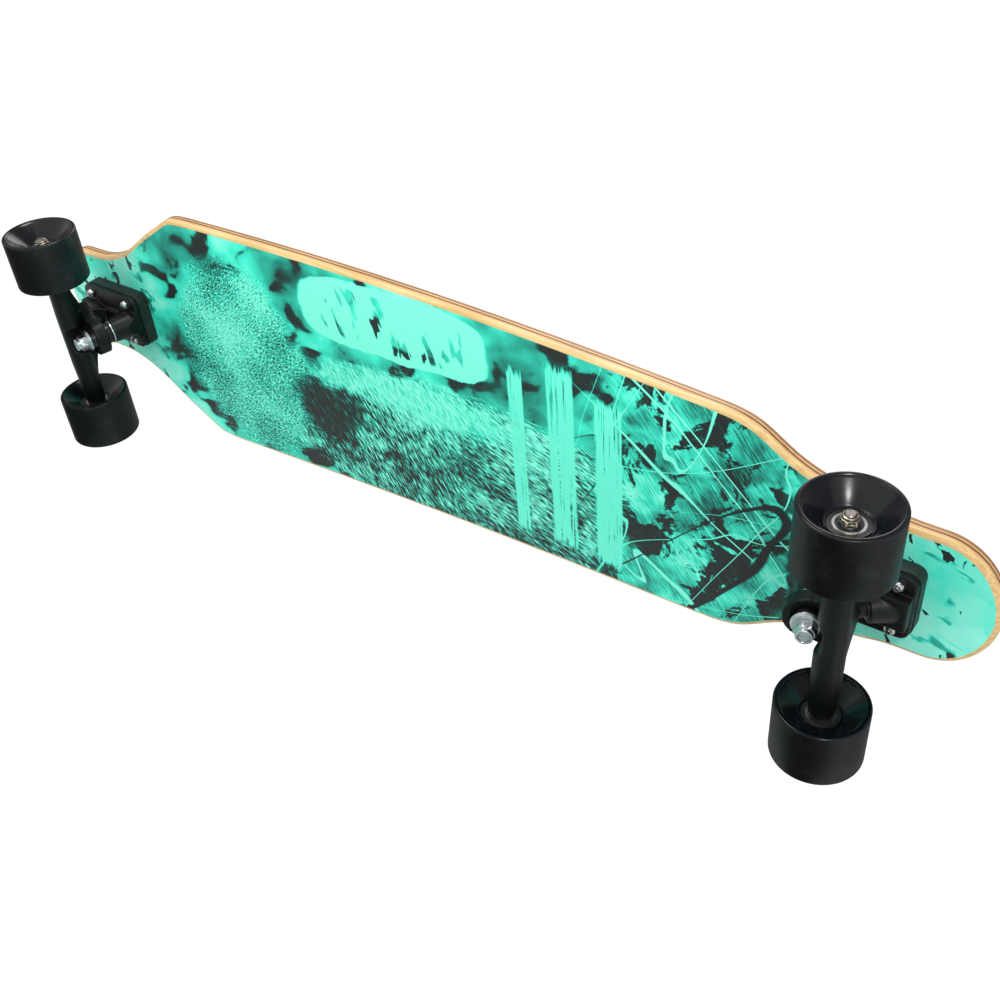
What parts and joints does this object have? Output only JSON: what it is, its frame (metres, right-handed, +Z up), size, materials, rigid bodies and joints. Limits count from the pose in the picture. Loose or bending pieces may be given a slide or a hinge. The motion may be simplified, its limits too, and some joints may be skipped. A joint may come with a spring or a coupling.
{
  "type": "skateboard",
  "caption": "Cut-out longboard skateboard with a cambered plywood deck, turning trucks on riser pads and spinning urethane wheels.",
  "frame": {"origin": "middle of the footprint, on the floor that the wheels stand on", "axes": "+X along the board to its narrower rear end, +Y to the right as seen from above facing the front, +Z up"},
  "size_m": [1.005, 0.252, 0.1231],
  "materials": {
    "grip": "black silicon carbide grit on a backing",
    "maple": "clear lacquered light veneer",
    "dyed_veneer": "dark dyed veneer",
    "printed_veneer": "satin lacquered print in mint and charcoal",
    "bolt_steel": "bright zinc",
    "washer_steel": "bright zinc",
    "washer_brass": "yellow zinc",
    "axle_steel": "turned",
    "bearing_steel": "ground",
    "riser_rubber": "moulded matt",
    "truck_paint": "satin black on a casting",
    "nylon": "moulded",
    "bushing_urethane": "satin cast urethane",
    "wheel_urethane": "satin tread, glossy recesses",
    "core_plastic": "moulded"
  },
  "bodies": {
    "deck": {"grip_tape": "grip", "deck_ply_1": "printed_veneer", "deck_ply_2": "maple", "deck_ply_3": "maple", "deck_ply_4": "maple", "deck_ply_5": "maple", "deck_ply_6": "dyed_veneer", "deck_ply_7": "maple", "mounting_bolts": "bolt_steel", "mounting_nuts": "bolt_steel", "front_riser_pad": "riser_rubber", "front_baseplate": "truck_paint", "front_pivot_cup": "nylon", "front_kingpin": "bolt_steel", "front_kingpin_nut": "bolt_steel", "front_board_bushing": "bushing_urethane", "front_road_bushing": "bushing_urethane", "front_board_washer": "washer_steel", "front_road_washer": "washer_steel", "rear_riser_pad": "riser_rubber", "rear_baseplate": "truck_paint", "rear_pivot_cup": "nylon", "rear_kingpin": "bolt_steel", "rear_kingpin_nut": "bolt_steel", "rear_board_bushing": "bushing_urethane", "rear_road_bushing": "bushing_urethane", "rear_board_washer": "washer_steel", "rear_road_washer": "washer_steel"},
    "front_hanger": {"front_hanger": "truck_paint", "front_axle": "axle_steel", "front_axle_nuts": "bolt_steel", "front_speed_washers": "washer_brass", "front_inner_rings": "bearing_steel", "front_bearing_spacers": "bearing_steel"},
    "front_left_wheel": {"front_left_tyre": "wheel_urethane", "front_left_wheel_core": "core_plastic", "front_left_outer_rings": "bearing_steel", "front_left_bearing_shields": "bearing_steel", "front_left_bearing_balls": "bearing_steel"},
    "front_right_wheel": {"front_right_tyre": "wheel_urethane", "front_right_wheel_core": "core_plastic", "front_right_outer_rings": "bearing_steel", "front_right_bearing_shields": "bearing_steel", "front_right_bearing_balls": "bearing_steel"},
    "rear_hanger": {"rear_hanger": "truck_paint", "rear_axle": "axle_steel", "rear_axle_nuts": "bolt_steel", "rear_speed_washers": "washer_brass", "rear_inner_rings": "bearing_steel", "rear_bearing_spacers": "bearing_steel"},
    "rear_left_wheel": {"rear_left_tyre": "wheel_urethane", "rear_left_wheel_core": "core_plastic", "rear_left_outer_rings": "bearing_steel", "rear_left_bearing_shields": "bearing_steel", "rear_left_bearing_balls": "bearing_steel"},
    "rear_right_wheel": {"rear_right_tyre": "wheel_urethane", "rear_right_wheel_core": "core_plastic", "rear_right_outer_rings": "bearing_steel", "rear_right_bearing_shields": "bearing_steel", "rear_right_bearing_balls": "bearing_steel"}
  },
  "joints": [
    {"name": "front_steer", "type": "hinge", "parent": "deck", "child": "front_hanger", "pos_m": [-0.38828, 0, 0.04814], "axis": [0.7725, 0, -0.635], "range_deg": [-20, 20], "stiffness_Nm_per_rad": 60, "deforming": ["front_board_bushing", "front_road_bushing"]},
    {"name": "rear_steer", "type": "hinge", "parent": "deck", "child": "rear_hanger", "pos_m": [0.38828, 0, 0.04814], "axis": [0.7725, 0, 0.635], "range_deg": [-20, 20], "stiffness_Nm_per_rad": 60, "deforming": ["rear_board_bushing", "rear_road_bushing"]},
    {"name": "front_left_spin", "type": "hinge", "parent": "front_hanger", "child": "front_left_wheel", "pos_m": [-0.411, 0, 0.035], "axis": [0, 1, 0], "continuous": true},
    {"name": "front_right_spin", "type": "hinge", "parent": "front_hanger", "child": "front_right_wheel", "pos_m": [-0.411, 0, 0.035], "axis": [0, 1, 0], "continuous": true},
    {"name": "rear_left_spin", "type": "hinge", "parent": "rear_hanger", "child": "rear_left_wheel", "pos_m": [0.411, 0, 0.035], "axis": [0, 1, 0], "continuous": true},
    {"name": "rear_right_spin", "type": "hinge", "parent": "rear_hanger", "child": "rear_right_wheel", "pos_m": [0.411, 0, 0.035], "axis": [0, 1, 0], "continuous": true}
  ]
}
